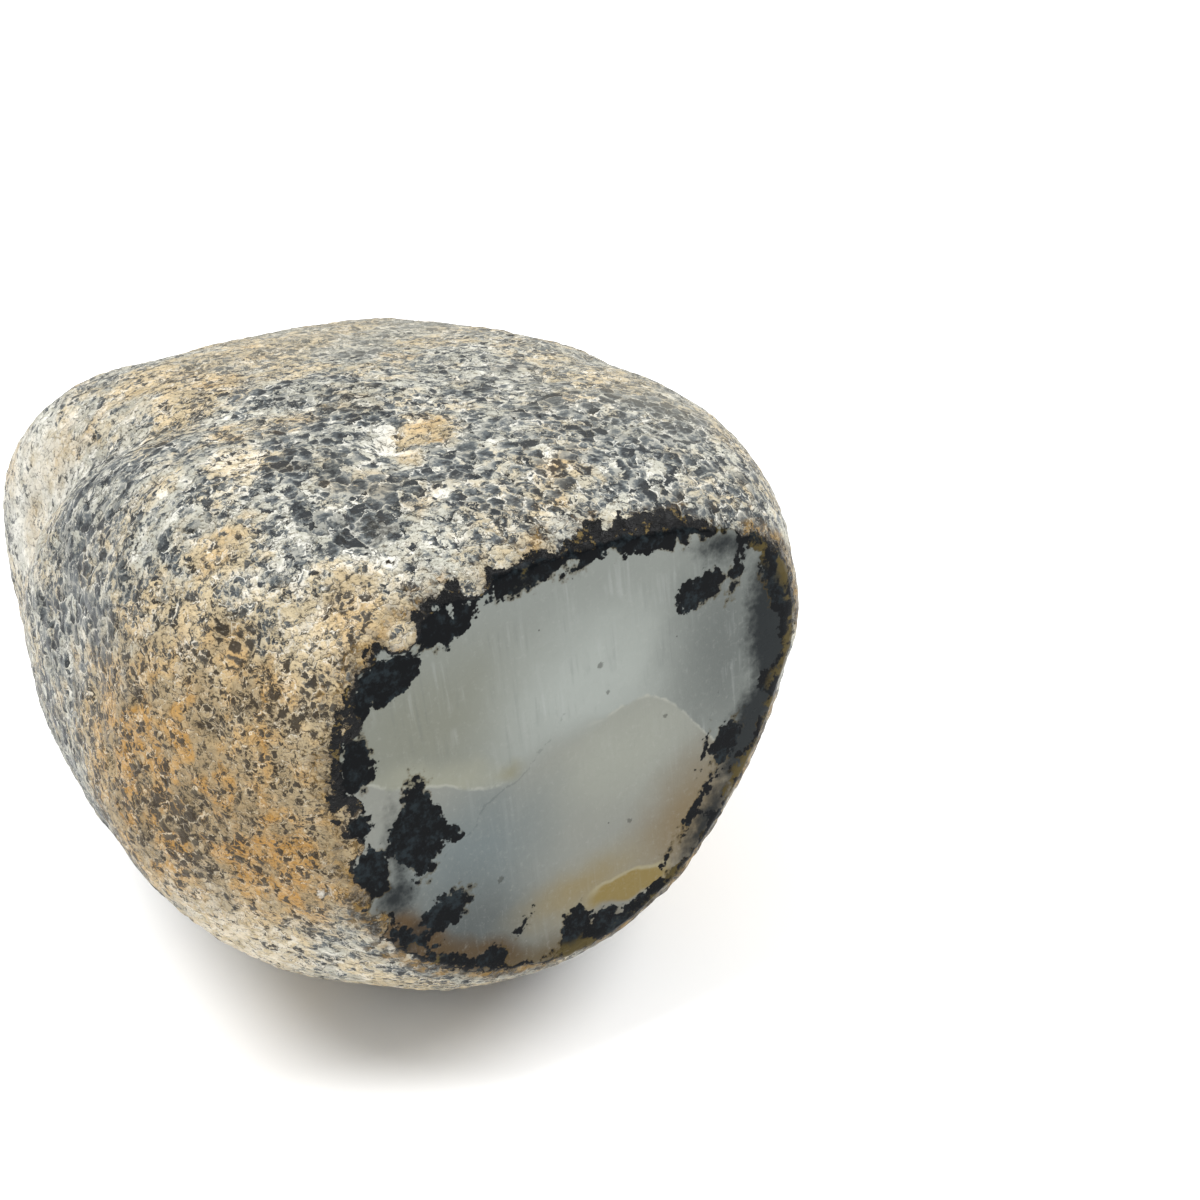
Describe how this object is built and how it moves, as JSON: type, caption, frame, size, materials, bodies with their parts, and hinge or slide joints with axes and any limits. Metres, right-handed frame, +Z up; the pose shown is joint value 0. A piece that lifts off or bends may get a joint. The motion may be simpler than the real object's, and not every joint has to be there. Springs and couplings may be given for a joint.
{
  "type": "montana agate nodule",
  "caption": "Water-worn moss agate nodule with an end cut and ground flat, resting on a worn flat spot: a display stone, paperweight or lapidary rough.",
  "frame": {"origin": "middle of the stone's box, on the surface that it rests on", "axes": "+Z up from the worn flat spot underneath, -Y out of the cut and ground face, +X to the right as one looks at that face"},
  "size_m": [0.0542, 0.0582, 0.0415],
  "materials": {
    "agate_rind": "worn granular rind, with a smooth ground face of pale chalcedony at the cut end"
  },
  "bodies": {
    "root": {"agate_cobble": "agate_rind"}
  },
  "joints": []
}
